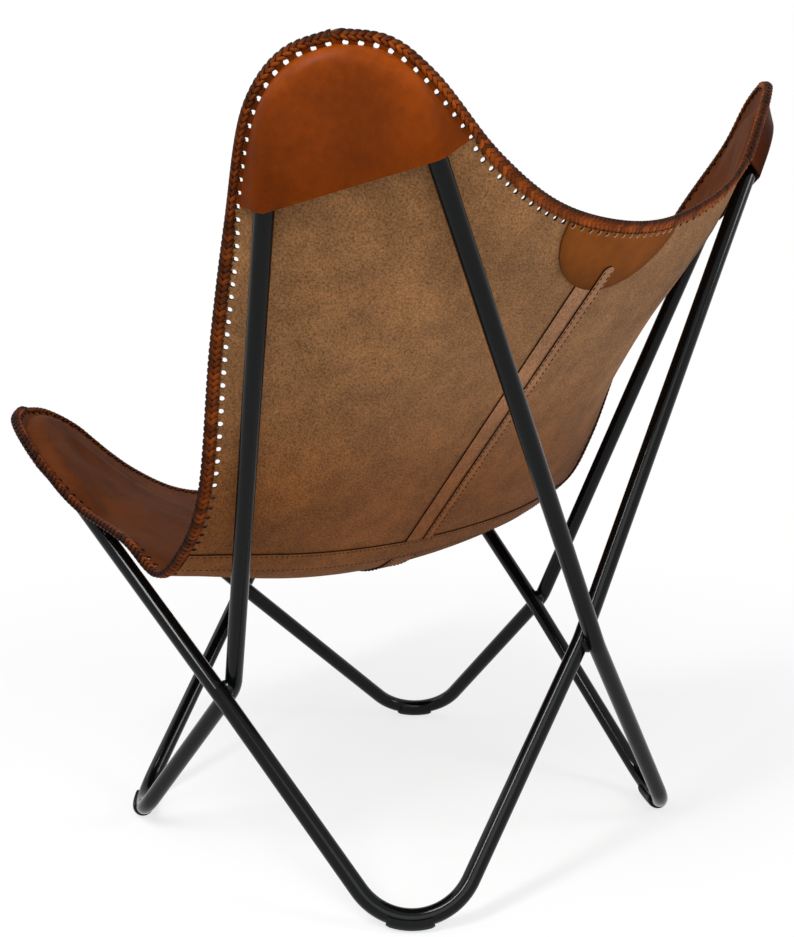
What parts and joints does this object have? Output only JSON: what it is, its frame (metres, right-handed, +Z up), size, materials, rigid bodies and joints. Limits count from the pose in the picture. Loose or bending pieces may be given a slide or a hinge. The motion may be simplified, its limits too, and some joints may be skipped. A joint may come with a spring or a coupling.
{
  "type": "butterfly sling chair",
  "caption": "Lounge chair with a laced leather sling whose corner pockets hang on a welded frame of crossed, bent steel tube.",
  "frame": {"origin": "on the floor, under the middle of the chair's overall box", "axes": "+Z up; -Y forward, the way the sitter looks; +X to the right of someone who faces the chair from the front"},
  "size_m": [0.8192, 0.752, 0.9239],
  "materials": {
    "frame_coat": "semi-gloss black powder coat",
    "glide_plastic": "matte dark plastic",
    "sling_leather": "brown hide, grain side in, flesh side out",
    "pocket_leather": "smooth cognac leather with a low gloss",
    "lace_leather": "reddish brown leather lace, waxed"
  },
  "bodies": {
    "root": {"rear_right_top_loop": "frame_coat", "rear_left_top_loop": "frame_coat", "front_right_top_loop": "frame_coat", "front_left_top_loop": "frame_coat", "rear_right_floor_bend": "frame_coat", "rear_left_floor_bend": "frame_coat", "front_right_floor_bend": "frame_coat", "front_left_floor_bend": "frame_coat", "right_weld": "frame_coat", "left_weld": "frame_coat", "rear_weld": "frame_coat", "front_weld": "frame_coat", "rear_right_glide": "glide_plastic", "rear_left_glide": "glide_plastic", "front_right_glide": "glide_plastic", "front_left_glide": "glide_plastic", "right_back_panel": "sling_leather", "left_back_panel": "sling_leather", "right_seat_panel": "sling_leather", "left_seat_panel": "sling_leather", "top_lacing": "lace_leather", "right_lacing": "lace_leather", "front_lacing": "lace_leather", "left_lacing": "lace_leather", "rear_right_pocket": "pocket_leather", "rear_left_pocket": "pocket_leather", "front_right_pocket": "pocket_leather", "front_left_pocket": "pocket_leather", "back_seam_strip": "sling_leather", "seat_seam_strip": "sling_leather", "cross_seam_strip": "sling_leather", "top_patch": "pocket_leather"}
  },
  "joints": []
}
